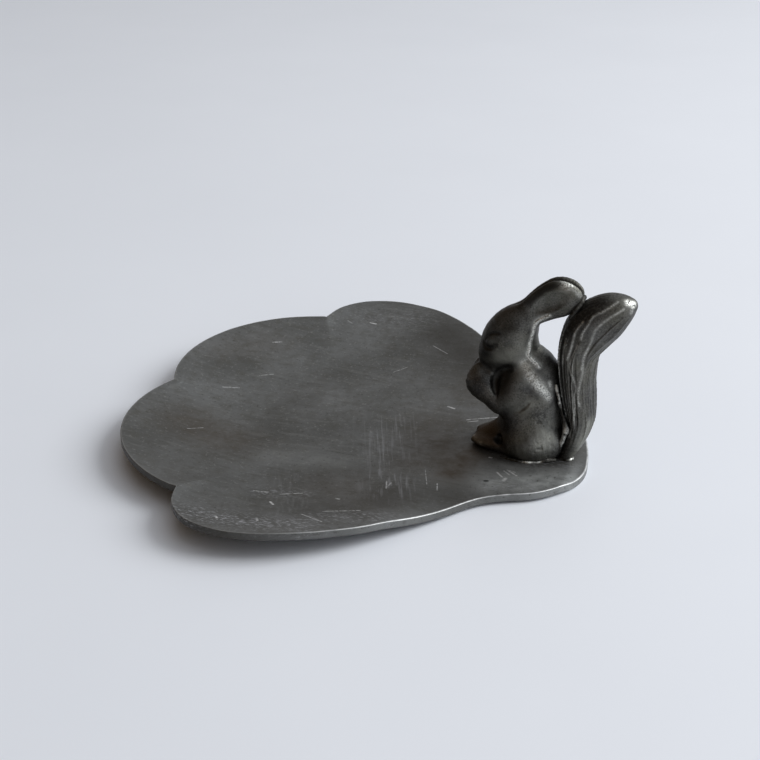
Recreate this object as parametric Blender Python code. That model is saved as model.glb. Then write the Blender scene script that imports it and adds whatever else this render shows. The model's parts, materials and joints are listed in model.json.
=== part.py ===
"""Pewter trinket dish: a leaf-shaped tray with a cast squirrel soldered to its stem pad.

The tray has four cupped lobes and a lower pad lobe. The squirrel sits on the pad with its paws at its mouth
and faces the lobes, and its tail is a second casting behind it. Beads of solder hold the castings.

Coordinates below are in millimetres in the leaf's own frame: +X runs along the leaf's mirror line from
the notch between the first two lobes to the pad, +Y to one side, +Z up from the table. LEAF_SHIFT moves
the leaf so that the whole object is centred over the origin.
"""
import math

import bmesh
import bpy
from mathutils import Vector

MM = 0.001
LEAF_SHIFT = -6.3

# Tray
TRAY_THICKNESS = 1.1
RIM_TOP = 4.1
PAD_TOP = 1.5
NECK_START = 4.0
NECK_END = 30.0
PAD_START = 15.0
PAD_FULL = 24.0
FLOOR_EDGE = 0.4
CUP_POWER = 1.5
CREASE_HEIGHT = 0.15
CREASE_WIDTH = 2.0
EDGE_ROUND = 0.3
RING_FRACTIONS = (0.2, FLOOR_EDGE, 0.55, 0.7, 0.83, 0.93, 1.0)

# Tray outline, one half; PAD_SKEW turns the pad's end a little askew
PAD_END = ((37.8, 0.0), (37.5, 4.2), (36.2, 7.8), (33.9, 11.2), (31.4, 13.8), (28.6, 15.5))
PAD_SKEW = 0.17
PAD_SKEW_START = 26.0
PAD_SKEW_FULL = 37.0
LOBE = (-8.2, 9.4, 22.5)
SIDE_NOTCH = (-14.1, 31.0)
END_NOTCH = (-28.4, 0.0)
NECK = ((26.2, 17.2), (24.0, 19.5), (21.0, 23.6))
SIDE_LOBE = ((17.4, 28.2), (13.0, 33.0), (8.5, 36.5), (4.3, 38.8), (0.6, 40.0), (-3.2, 40.5), (-6.9, 40.0),
             (-10.2, 38.4), (-12.9, 35.2))

# Clearance between pieces, and the directions that a limb's first half width can lie along
GAP = 0.3
ACROSS = Vector((0.0, 1.0, 0.0))
UPWARD = Vector((0.0, 0.0, 1.0))
EAR_LINE = Vector((-1.0, 0.0, 1.0))

# Mesh fineness: voxel size, and the share of triangles kept
LIMB_SIDES = 20
CAP_LENGTH = 0.6
FIGURE_MESH = (0.45, 0.22)
TAIL_MESH = (0.5, 0.3)
SOLDER_MESH = (0.3, 0.2)

# Squirrel, in runs of (x, y, z, half width along Y, half width in the XZ plane)
TRUNK = ((28.4, 0, 1.85, 4.6, 5.2), (29.2, 0, 4.4, 5.0, 5.1), (29.0, 0, 8.0, 4.6, 4.7),
         (28.3, 0, 11.2, 4.1, 4.5), (28.1, 0, 13.3, 3.7, 4.3), (27.1, 0, 15.5, 3.2, 3.2),
         (26.4, 0, 18.2, 3.1, 2.9), (26.4, 0, 19.8, 2.8, 2.7))
HEAD = ((27.2, 0, 22.1, 1.6, 1.5), (26.1, 0, 20.6, 2.9, 2.9), (24.7, 0, 18.6, 3.3, 3.3),
        (23.6, 0, 16.5, 2.9, 2.8), (22.8, 0, 14.9, 2.0, 1.8), (22.5, 0, 14.2, 1.2, 1.1))
CHEST = ((26.4, 0, 8.6, 2.6, 2.6), (25.0, 0, 11.6, 3.0, 2.4), (24.8, 0, 14.6, 2.6, 2.0),
         (25.4, 0, 16.6, 2.2, 1.8))
EAR = ((26.4, 0.8, 21.2, 1.0, 1.6), (28.3, 0.8, 23.0, 0.95, 2.0), (30.3, 0.8, 24.6, 0.95, 2.45),
       (32.4, 0.8, 25.8, 0.95, 2.7), (34.1, 0.8, 26.2, 0.85, 2.1), (35.1, 0.7, 26.3, 0.5, 1.1))
FORELEG = ((27.6, 2.9, 13.0, 1.3, 1.6), (26.4, 3.1, 10.9, 1.5, 1.8), (25.2, 3.0, 9.3, 1.6, 1.7),
           (23.5, 2.6, 10.2, 1.6, 1.7), (21.7, 2.0, 11.7, 1.7, 2.3), (21.4, 1.4, 13.1, 1.3, 1.5))
HAUNCH = ((26.4, 3.0, 3.4, 1.4, 1.4), (27.8, 3.2, 3.6, 2.2, 2.9), (29.7, 3.1, 3.9, 2.6, 3.7),
          (32.0, 2.5, 4.1, 2.1, 3.1), (33.4, 1.8, 4.4, 1.2, 1.6))
HIND_FOOT = ((28.0, 2.8, 2.6, 1.6, 1.1), (25.0, 2.7, 2.7, 1.6, 1.1), (22.6, 2.2, 2.5, 1.5, 0.8),
             (20.9, 1.6, 2.3, 0.9, 0.5))
FOOT_WEB = ((27.5, 0, 4.8, 3.2, 2.8), (25.0, 0, 3.7, 3.0, 1.8), (23.2, 0, 2.8, 2.6, 1.3),
            (21.4, 0, 2.3, 1.8, 0.7))

# Space under the castings, down to the gap above the pad
BELOW_SEAT_LOW = (15.0, -15.0, -5.0)
BELOW_SEAT_HIGH = (50.0, 15.0, PAD_TOP + GAP)

# Tail casting, in the same form
TAIL = ((35.2, -1.5, 1.9, 1.6, 1.2), (35.9, -1.1, 4.6, 2.2, 1.6), (36.1, -0.5, 7.6, 2.9, 2.0),
        (35.8, 0, 10.8, 3.3, 2.4), (35.4, 0, 14.5, 3.6, 2.7), (35.5, 0, 18.4, 3.8, 3.1),
        (36.8, 0, 21.4, 3.8, 3.6), (38.9, 0, 23.4, 3.4, 3.4), (40.7, 0, 24.5, 2.7, 2.8),
        (41.9, 0, 25.0, 1.7, 1.9), (42.7, 0, 25.2, 0.9, 1.0))

# Solder down the seam between back and tail, in the same form
BACK_SOLDER = ((34.5, 2.6, 4.8, 0.6, 0.7), (34.3, 3.0, 7.0, 0.9, 0.9), (33.6, 3.3, 9.6, 0.9, 0.9),
               (32.9, 3.4, 12.0, 0.6, 0.7))

# Curved beads: centre, reach at 0 degrees, reach at 90 degrees, first angle, sweep, two half widths
SEAT_BEAD = ((29.4, 0.0, 2.4), (5.2, 0.0, 0.0), (0.0, -5.7, 0.0), 195, 130, 0.8, 0.7)
TAIL_FOOT_BEAD = ((34.9, -1.4, 2.3), (1.9, 0.0, 0.0), (0.0, 2.2, 0.0), -100, 200, 0.6, 0.5)
EAR_BEAD = ((34.3, 0.0, 23.9), (1.3, 0.0, 2.3), (0.0, 2.0, 0.0), -110, 220, 0.65, 0.65)
BEAD_STEPS = 8


def smooth_step(low, high, value):
    """Blend from 0 below low to 1 above high."""
    t = min(1.0, max(0.0, (value - low) / (high - low)))
    return t * t * (3.0 - 2.0 * t)


def arc(centre_x, centre_y, radius, start_deg, end_deg, count):
    """Points on an arc, both ends included."""
    points = []
    for i in range(count + 1):
        a = math.radians(start_deg + (end_deg - start_deg) * i / count)
        points.append(Vector((centre_x + radius * math.cos(a), centre_y + radius * math.sin(a))))
    return points


def through_points(points, steps):
    """A smooth curve through points (Catmull-Rom), from the first to the last."""
    padded = [points[0]] + list(points) + [points[-1]]
    curve = []
    for i in range(1, len(padded) - 2):
        p = [Vector(q) for q in padded[i - 1:i + 3]]
        for k in range(steps):
            t = k / steps
            linear = (p[2] - p[0]) * t
            square = (2 * p[0] - 5 * p[1] + 4 * p[2] - p[3]) * t ** 2
            cubic = (3 * p[1] - p[0] - 3 * p[2] + p[3]) * t ** 3
            curve.append(0.5 * (2 * p[1] + linear + square + cubic))
    curve.append(Vector(points[-1]))
    return curve


def angle_deg(centre, point):
    """Direction from centre to point in degrees."""
    return math.degrees(math.atan2(point[1] - centre[1], point[0] - centre[0]))


def leaf_outline():
    """Closed outline of the tray, anticlockwise, starting in the middle of the pad's end."""
    lobe_x, lobe_y, lobe_r = LOBE
    half = through_points(PAD_END + NECK + SIDE_LOBE + (SIDE_NOTCH,), 2)
    start = angle_deg((lobe_x, lobe_y), SIDE_NOTCH)
    end = angle_deg((lobe_x, lobe_y), END_NOTCH) + 360
    half += arc(lobe_x, lobe_y, lobe_r, start, end, 16)[1:]
    outline = half + [Vector((p.x, -p.y)) for p in reversed(half[1:-1])]
    for p in outline:
        p.x -= PAD_SKEW * p.y * smooth_step(PAD_SKEW_START, PAD_SKEW_FULL, p.x)
    return outline


def crease(point, t):
    """Low ridge that runs inward from each notch, between two cupped lobes."""
    height = 0.0
    for notch in (Vector(END_NOTCH), Vector(SIDE_NOTCH), Vector((SIDE_NOTCH[0], -SIDE_NOTCH[1]))):
        along = notch.normalized()
        across = abs(along.x * point.y - along.y * point.x)
        if point.dot(along) > 0.0:
            height += math.exp(-(across / CREASE_WIDTH) ** 2)
    return CREASE_HEIGHT * height * smooth_step(FLOOR_EDGE, 0.8, t)


def tray_top(point, t):
    """Height of the tray's upper face: flat floor, cupped lobes and a level pad."""
    rim = RIM_TOP + (PAD_TOP - RIM_TOP) * smooth_step(NECK_START, NECK_END, point.x)
    cup = max(0.0, (t - FLOOR_EDGE) / (1.0 - FLOOR_EDGE)) ** CUP_POWER
    bowl = TRAY_THICKNESS + (rim - TRAY_THICKNESS) * cup + crease(point, t)
    return bowl + (PAD_TOP - bowl) * smooth_step(PAD_START, PAD_FULL, point.x)


def add_ring(mesh, outline, t, inset, drop):
    """One ring of vertices on the tray: t of the way out, pulled in by inset and lowered by drop."""
    ring = []
    for p in outline:
        q = p * t
        z = tray_top(q, t) - drop
        q = q - q.normalized() * inset
        ring.append(mesh.verts.new(Vector((q.x, q.y, z)) * MM))
    return ring


def bridge(mesh, inner, outer):
    """Quads between two rings of equal length."""
    count = len(inner)
    for i in range(count):
        j = (i + 1) % count
        mesh.faces.new((inner[i], outer[i], outer[j], inner[j]))


def build_tray(material, parent):
    """Thin tray: an upper face, a rounded edge and a parallel underside."""
    mesh = bmesh.new()
    outline = leaf_outline()
    rings = []
    for t in RING_FRACTIONS[:-1]:
        rings.append(add_ring(mesh, outline, t, 0.0, 0.0))
    rings.append(add_ring(mesh, outline, 1.0, EDGE_ROUND, 0.0))
    rings.append(add_ring(mesh, outline, 1.0, 0.0, EDGE_ROUND))
    rings.append(add_ring(mesh, outline, 1.0, 0.0, TRAY_THICKNESS - EDGE_ROUND))
    rings.append(add_ring(mesh, outline, 1.0, EDGE_ROUND, TRAY_THICKNESS))
    for t in reversed(RING_FRACTIONS[:-1]):
        rings.append(add_ring(mesh, outline, t, 0.0, TRAY_THICKNESS))
    for inner, outer in zip(rings, rings[1:]):
        bridge(mesh, inner, outer)
    mesh.faces.new(rings[0])
    mesh.faces.new(reversed(rings[-1]))
    return finish_object("tray", mesh, material, parent)


def finish_object(name, mesh, material, parent):
    """Turn a bmesh into a smooth-shaded object under the leaf's empty."""
    bmesh.ops.recalc_face_normals(mesh, faces=mesh.faces)
    data = bpy.data.meshes.new(name)
    mesh.to_mesh(data)
    mesh.free()
    data.shade_smooth()
    data.set_sharp_from_angle(angle=math.radians(40))
    data.materials.append(material)
    part = bpy.data.objects.new(name, data)
    part.parent = parent
    bpy.context.scene.collection.objects.link(part)
    return part


def add_limb(mesh, stations, side, level, steps=3):
    """Loft a rounded limb with its first half width along level; side -1 puts it on the other flank."""
    path = through_points([Vector(s) for s in stations], steps)
    centres = [Vector((s[0], side * s[1], s[2])) for s in path]
    last = len(path) - 1
    rings = []
    for i, s in enumerate(path):
        run = (centres[min(last, i + 1)] - centres[max(0, i - 1)]).normalized()
        first = (level - run * level.dot(run)).normalized()
        second = run.cross(first)
        ring = []
        for k in range(LIMB_SIDES):
            a = math.tau * k / LIMB_SIDES
            corner = centres[i] + first * s[3] * math.cos(a) + second * s[4] * math.sin(a)
            ring.append(mesh.verts.new(corner * MM))
        rings.append(ring)
    for inner, outer in zip(rings, rings[1:]):
        bridge(mesh, inner, outer)
    for end, inward in ((0, 1), (last, last - 1)):
        outward = (centres[end] - centres[inward]).normalized()
        tip = mesh.verts.new((centres[end] + outward * CAP_LENGTH * min(path[end][3], path[end][4])) * MM)
        for k in range(LIMB_SIDES):
            mesh.faces.new((rings[end][k], rings[end][(k + 1) % LIMB_SIDES], tip))


def limbs_object(name, limbs, level, material, parent, fineness):
    """Melt lofted limbs into one casting and thin its triangles."""
    voxel, share = fineness
    mesh = bmesh.new()
    for stations, side in limbs:
        add_limb(mesh, stations, side, level)
    part = finish_object(name, mesh, material, parent)
    melt = part.modifiers.new("melt", "REMESH")
    melt.mode = "VOXEL"
    melt.voxel_size = voxel * MM
    melt.use_smooth_shade = True
    soften = part.modifiers.new("soften", "SMOOTH")
    soften.factor = 0.5
    soften.iterations = 2
    thin = part.modifiers.new("thin", "DECIMATE")
    thin.ratio = share
    return part


def hide_cutter(part):
    """Mark an object as a cutter."""
    part.hide_render = True
    part.display_type = "WIRE"


def cutter_box(name, low, high, parent):
    """A hidden box that trims a casting."""
    mesh = bmesh.new()
    bmesh.ops.create_cube(mesh, size=1.0)
    for v in mesh.verts:
        for axis in range(3):
            v.co[axis] = (low[axis] if v.co[axis] < 0 else high[axis]) * MM
    data = bpy.data.meshes.new(name)
    mesh.to_mesh(data)
    mesh.free()
    box = bpy.data.objects.new(name, data)
    box.parent = parent
    bpy.context.scene.collection.objects.link(box)
    hide_cutter(box)
    return box


def clearance(part):
    """A hidden copy of a casting, grown by the gap that neighbours keep to it."""
    grown = part.copy()
    grown.name = part.name + "_clearance"
    bpy.context.scene.collection.objects.link(grown)
    grow = grown.modifiers.new("grow", "DISPLACE")
    grow.mid_level = 0.0
    grow.strength = GAP * MM
    hide_cutter(grown)
    return grown


def trim(part, cutter):
    """Cut a casting with a cutter."""
    cut = part.modifiers.new("trim", "BOOLEAN")
    cut.object = cutter
    cut.operation = "DIFFERENCE"


def pewter(name, colour, roughness):
    """Grey metal with the given tint."""
    material = bpy.data.materials.new(name)
    material.use_nodes = True
    shader = material.node_tree.nodes["Principled BSDF"]
    shader.inputs["Base Color"].default_value = (*colour, 1.0)
    shader.inputs["Metallic"].default_value = 1.0
    shader.inputs["Roughness"].default_value = roughness
    material.diffuse_color = (*colour, 1.0)
    return material


def bead_arc(centre, reach_0, reach_90, start_deg, sweep_deg, first_half, second_half):
    """Stations of a bead that runs round part of an ellipse."""
    stations = []
    for i in range(BEAD_STEPS + 1):
        a = math.radians(start_deg + sweep_deg * i / BEAD_STEPS)
        place = Vector(centre) + Vector(reach_0) * math.cos(a) + Vector(reach_90) * math.sin(a)
        stations.append((*place, first_half, second_half))
    return stations


def solder_beads():
    """Each solder bead: (name, stations, side, direction of its first half width)."""
    beads = [("tail_foot_solder", bead_arc(*TAIL_FOOT_BEAD), 1, UPWARD),
             ("ear_solder", bead_arc(*EAR_BEAD), 1, EAR_LINE)]
    for flank, side in (("left", -1), ("right", 1)):
        beads.append(("seat_solder_" + flank, bead_arc(*SEAT_BEAD), side, UPWARD))
        beads.append(("back_solder_" + flank, BACK_SOLDER, side, ACROSS))
    return beads


def main():
    """Build every piece of the dish."""
    for old in list(bpy.data.objects):
        bpy.data.objects.remove(old, do_unlink=True)
    leaf = bpy.data.objects.new("leaf", None)
    leaf.location = (LEAF_SHIFT * MM, 0.0, 0.0)
    bpy.context.scene.collection.objects.link(leaf)

    build_tray(pewter("tray_pewter", (0.10, 0.10, 0.105), 0.38), leaf)

    body = [(TRUNK, 1), (CHEST, 1), (HEAD, 1), (FOOT_WEB, 1)]
    body += [(run, side) for run in (EAR, FORELEG, HAUNCH, HIND_FOOT) for side in (1, -1)]
    squirrel = limbs_object("squirrel", body, ACROSS, pewter("squirrel_pewter", (0.085, 0.08, 0.08), 0.42),
                            leaf, FIGURE_MESH)
    tail = limbs_object("tail", [(TAIL, 1)], ACROSS, pewter("tail_pewter", (0.095, 0.09, 0.09), 0.4),
                        leaf, TAIL_MESH)
    around_squirrel = clearance(squirrel)
    around_tail = clearance(tail)
    below_seat = cutter_box("below_seat", BELOW_SEAT_LOW, BELOW_SEAT_HIGH, leaf)
    trim(tail, below_seat)
    trim(squirrel, below_seat)
    trim(squirrel, around_tail)

    solder = pewter("solder", (0.35, 0.34, 0.31), 0.3)
    for name, stations, side, level in solder_beads():
        bead = limbs_object(name, [(stations, side)], level, solder, leaf, SOLDER_MESH)
        for cutter in (below_seat, around_squirrel, around_tail):
            trim(bead, cutter)


main()
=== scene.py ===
"""Looks of the pewter trinket dish: the leaf tray, the cast squirrel and tail, and their solder.

Shapes are worked out in millimetres in the leaf's own frame: +X runs along the leaf's mirror line from its
end notch to the pad, +Y to the far side, +Z up from the table. The castings are modelled as signed distance
fields (negative inside) on a fine grid, melted together limb by limb, and skinned.
"""
import json
import math

import bpy
import numpy as np
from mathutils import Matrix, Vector


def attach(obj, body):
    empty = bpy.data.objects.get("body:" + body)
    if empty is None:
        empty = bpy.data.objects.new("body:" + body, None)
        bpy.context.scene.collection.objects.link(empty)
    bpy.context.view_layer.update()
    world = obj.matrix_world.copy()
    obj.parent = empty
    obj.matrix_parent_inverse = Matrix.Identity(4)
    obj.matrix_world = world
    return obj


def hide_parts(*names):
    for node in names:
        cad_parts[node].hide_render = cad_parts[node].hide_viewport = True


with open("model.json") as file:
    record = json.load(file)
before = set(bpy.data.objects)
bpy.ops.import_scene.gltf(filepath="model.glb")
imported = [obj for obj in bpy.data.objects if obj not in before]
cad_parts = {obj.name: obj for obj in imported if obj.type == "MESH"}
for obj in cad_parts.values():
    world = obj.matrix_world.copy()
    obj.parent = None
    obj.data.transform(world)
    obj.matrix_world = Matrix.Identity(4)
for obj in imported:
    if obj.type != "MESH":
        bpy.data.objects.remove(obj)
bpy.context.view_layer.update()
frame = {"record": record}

MM = 0.001
LEAF_ORIGIN = np.array(frame["record"]["mounts"][0]["pos_m"]) / MM

# Grid spacing of the modelled fields, the distance kept where no limb reaches, and the least divisor
STEP = 0.1
FAR = 3.0
TINY = 1e-6
# Steps between two points of a curve, and how far round a limb its field reaches
STROKE_STEPS = 4
LIMB_MARGIN = 1.6
# Cells after which the seeded noise repeats
NOISE_CELLS = 16

# Tray
TRAY_THICKNESS = 1.1
RIM_TOP = 4.1
PAD_TOP = 1.5
NECK_SPAN = (4.0, 30.0)
PAD_SPAN = (15.0, 24.0)
FLOOR_EDGE = 0.4
CUP_POWER = 1.5
EDGE_RADIUS = 0.13
EDGE_STEPS = 5
PAD_DROOP = 0.45
DROOP_SPAN = (35.5, 38.0)
# Angle in radians over which the notches in the rim are smoothed out of the cupping, and how far the rim
# itself goes back to one level
NOTCH_SOFTENING = 0.3
RIM_LEVELLING = 0.6
LEVEL_START = 0.75
# Rings of the upper face, as shares of the way out, and the insets of the last ones from the outline
FACE_RINGS = (0.03, 0.95, 66)
RIM_INSETS = (1.4, 1.0, 0.7, 0.45, 0.3)
UNDER_INSETS = (0.7, 1.4)
PAD_END = ((37.8, 0.0), (37.5, 4.2), (36.2, 7.8), (33.9, 11.2), (31.4, 13.8), (28.6, 15.5))
PAD_SKEW = 0.17
PAD_SKEW_SPAN = (26.0, 37.0)
LOBE = (-8.2, 9.4, 22.5)
SIDE_NOTCH = (-14.1, 31.0)
END_NOTCH = (-28.4, 0.0)
NECK = ((26.2, 17.2), (24.0, 19.5), (21.0, 23.6))
SIDE_LOBE = ((17.4, 28.2), (13.0, 33.0), (8.5, 36.5), (4.3, 38.8), (0.6, 40.0), (-3.2, 40.5), (-6.9, 40.0),
             (-10.2, 38.4), (-12.9, 35.2))

# Limbs of the squirrel and the tail, as (x, y, z, half width along Y, half width in the XZ plane)
TRUNK = ((28.4, 0, 1.85, 4.6, 5.2), (29.2, 0, 4.4, 5.0, 5.1), (29.1, 0, 8.0, 4.6, 4.9),
         (28.6, 0, 11.2, 4.1, 4.9), (28.4, 0, 13.3, 3.7, 4.6), (27.2, 0, 15.5, 3.2, 3.3),
         (26.4, 0, 18.2, 3.1, 2.9), (26.4, 0, 19.8, 2.8, 2.7))
HEAD = ((27.2, 0, 22.1, 1.6, 1.5), (26.1, 0, 20.6, 2.9, 2.9), (24.7, 0, 18.6, 3.3, 3.3),
        (23.6, 0, 16.5, 2.9, 2.8), (22.8, 0, 14.9, 2.0, 1.8), (22.5, 0, 14.2, 1.2, 1.1))
CHEST = ((26.4, 0, 8.6, 2.6, 2.6), (25.0, 0, 11.6, 3.0, 2.4), (24.8, 0, 14.6, 2.6, 2.0),
         (25.4, 0, 16.6, 2.2, 1.8))
EAR = ((26.4, 0.8, 21.2, 1.0, 1.6), (28.3, 0.8, 23.0, 0.95, 2.0), (30.3, 0.8, 24.6, 0.95, 2.45),
       (32.4, 0.8, 25.8, 0.95, 2.7), (34.1, 0.8, 26.2, 0.85, 2.1), (35.1, 0.7, 26.3, 0.5, 1.1))
FORELEG = ((27.6, 2.9, 13.0, 1.3, 1.6), (26.4, 3.1, 10.9, 1.5, 1.8), (25.2, 3.0, 9.3, 1.6, 1.7),
           (23.5, 2.6, 10.2, 1.6, 1.7), (21.7, 2.0, 11.7, 1.7, 2.3), (21.4, 1.4, 13.1, 1.3, 1.5))
HAUNCH = ((26.4, 3.0, 3.0, 1.2, 1.3), (27.8, 3.2, 3.3, 2.2, 2.8), (29.7, 3.15, 3.6, 2.6, 3.7),
          (32.0, 2.5, 3.9, 2.1, 3.1), (33.4, 1.8, 4.2, 1.2, 1.6))
FLANK = ((26.5, 3.0, 8.4, 1.1, 1.2), (27.2, 3.2, 7.4, 1.2, 1.6), (28.4, 3.3, 6.0, 1.5, 1.8))
HIND_FOOT = ((28.0, 2.8, 2.6, 1.6, 1.1), (25.0, 2.8, 2.6, 1.5, 1.1), (22.6, 2.2, 2.4, 1.4, 0.8),
             (21.0, 1.5, 2.2, 0.9, 0.5))
FOOT_WEB = ((27.5, 0, 4.8, 3.2, 2.8), (25.0, 0, 3.7, 3.0, 1.8), (23.2, 0, 2.8, 2.6, 1.3),
            (21.6, 0, 2.2, 2.0, 0.8), (20.9, 0, 2.0, 1.4, 0.4))
TAIL = (
    (34.5, -1.6, 1.5, 1.5, 1.05), (35.7, -1.1, 4.6, 2.1, 1.7), (36.3, -0.5, 7.6, 2.9, 2.1),
    (35.8, 0, 10.8, 3.3, 2.6), (35.4, 0, 14.5, 3.6, 2.75), (35.5, 0, 18.4, 3.8, 3.05),
    (36.8, 0, 21.4, 3.8, 3.6), (38.8, 0, 23.5, 3.4, 3.3), (40.6, 0, 24.8, 2.5, 2.35),
    (42.1, 0, 25.6, 1.2, 1.2))
# Limbs in the order they are melted onto the trunk, on its left flank, each with its fillet radius
LIMBS = ((CHEST, 0.8), (HEAD, 1.6), (EAR, 1.2), (FOOT_WEB, 0.6), (HAUNCH, 0.6), (FORELEG, 0.9),
         (FLANK, 0.9), (HIND_FOOT, 0.5))
# Blocks of space that the castings are modelled in; the squirrel's ends at its mirror plane
SQUIRREL_BLOCK = ((18.4, -7.0, 1.0), (36.6, 0.0, 29.2))
TAIL_BLOCK = ((32.0, -5.2, 1.0), (44.8, 5.2, 29.2))
# How deep the castings and the solder reach into the pad
CASTING_SINK = 0.05
SOLDER_SINK = 0.1
# Directions that a limb's first half width may lie along
ACROSS = np.array((0.0, 1.0, 0.0))
SKEW = np.array((0.31, 0.87, 0.38))

# Camera, window and table; the names say where a length is in metres
CAMERA_PLACE = (68.9, -197.1, 108.4)
CAMERA_TARGET = (0.0, 17.4, 0.0)
CAMERA_LENS = 72.2
SENSOR = 36.0
CLIP_START_M = 0.01
WINDOW_PLACE = (540.0, 200.0, 430.0)
WINDOW_TARGET = (0.0, 0.0, 5.0)
WINDOW_SIDE = 460.0
WINDOW_POWER = 3.9
WINDOW_TINT = (0.97, 0.985, 1.0)
TABLE_HALF_M = 4.0


# ---- numbers and curves

def smooth_step(low, high, value):
    """Blend from 0 below low to 1 above high."""
    t = np.clip((value - low) / (high - low), 0.0, 1.0)
    return t * t * (3.0 - 2.0 * t)


def unit(vector):
    """The vector at length 1."""
    return vector / np.linalg.norm(vector)


def through_points(points, steps):
    """A smooth curve through points (Catmull-Rom), from the first to the last."""
    rows = np.array(points, float)
    padded = np.vstack((rows[:1], rows, rows[-1:]))
    curve = []
    for p0, p1, p2, p3 in zip(padded, padded[1:], padded[2:], padded[3:]):
        for k in range(steps):
            t = k / steps
            linear = (p2 - p0) * t
            square = (2 * p0 - 5 * p1 + 4 * p2 - p3) * t ** 2
            cube = (3 * p1 - p0 - 3 * p2 + p3) * t ** 3
            curve.append(0.5 * (2 * p1 + linear + square + cube))
    curve.append(rows[-1])
    return np.array(curve)


def noise(points, size, seed):
    """Smooth seeded noise from -1 to 1 with features about size millimetres across."""
    table = np.random.default_rng(seed).uniform(-1.0, 1.0, (NOISE_CELLS,) * 3)
    grid = points / size
    cell = np.floor(grid).astype(int)
    part = grid - cell
    part = part * part * (3.0 - 2.0 * part)
    return between_corners(part, lambda corner: table[tuple(((cell + corner) % NOISE_CELLS).T)])


def near_stroke(points, stroke, width):
    """1 on a stroke (a chain of points), fading to 0 at about twice its width."""
    nearest = np.full(len(points), np.inf)
    for a, b in zip(np.array(stroke[:-1], float), np.array(stroke[1:], float)):
        run = b - a
        t = np.clip((points - a) @ run / (run @ run), 0.0, 1.0)
        nearest = np.minimum(nearest, np.linalg.norm(points - a - t[:, None] * run, axis=1))
    return np.exp(-(nearest / width) ** 2)


def strongest(points, strokes):
    """The strongest of several strokes at each point."""
    total = np.zeros(len(points))
    for stroke, width, strength in strokes:
        total = np.maximum(total, strength * near_stroke(points, stroke, width))
    return total


# ---- distance fields

CORNERS = np.array([(i, j, k) for i in (0, 1) for j in (0, 1) for k in (0, 1)])
CELL_EDGES = [(a, b) for a in range(8) for b in range(a + 1, 8)
              if np.abs(CORNERS[a] - CORNERS[b]).sum() == 1]


def between_corners(part, value_at):
    """Values blended from a cell's eight corners, at places part (0 to 1) across the cell."""
    total = np.zeros(len(part))
    for corner in CORNERS:
        total += np.prod(np.where(corner, part, 1.0 - part), axis=1) * value_at(corner)
    return total


def ellipsoid_field(offsets, halves):
    """Distance to an ellipsoid, nearly true close to it, from the offsets along its three axes."""
    scaled = np.sqrt(sum((offset / half) ** 2 for offset, half in zip(offsets, halves)))
    steep = np.sqrt(sum((offset / half ** 2) ** 2 for offset, half in zip(offsets, halves)))
    return scaled * (scaled - 1.0) / np.maximum(steep, TINY)


def melt(a, b, radius):
    """Union of two fields with a fillet of about the given radius."""
    mix = np.clip(0.5 + 0.5 * (b - a) / radius, 0.0, 1.0)
    return b + (a - b) * mix - radius * mix * (1.0 - mix)


def carve(a, b, radius):
    """Field a with field b taken away and the edge softened."""
    return -melt(-a, b, radius)


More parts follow.
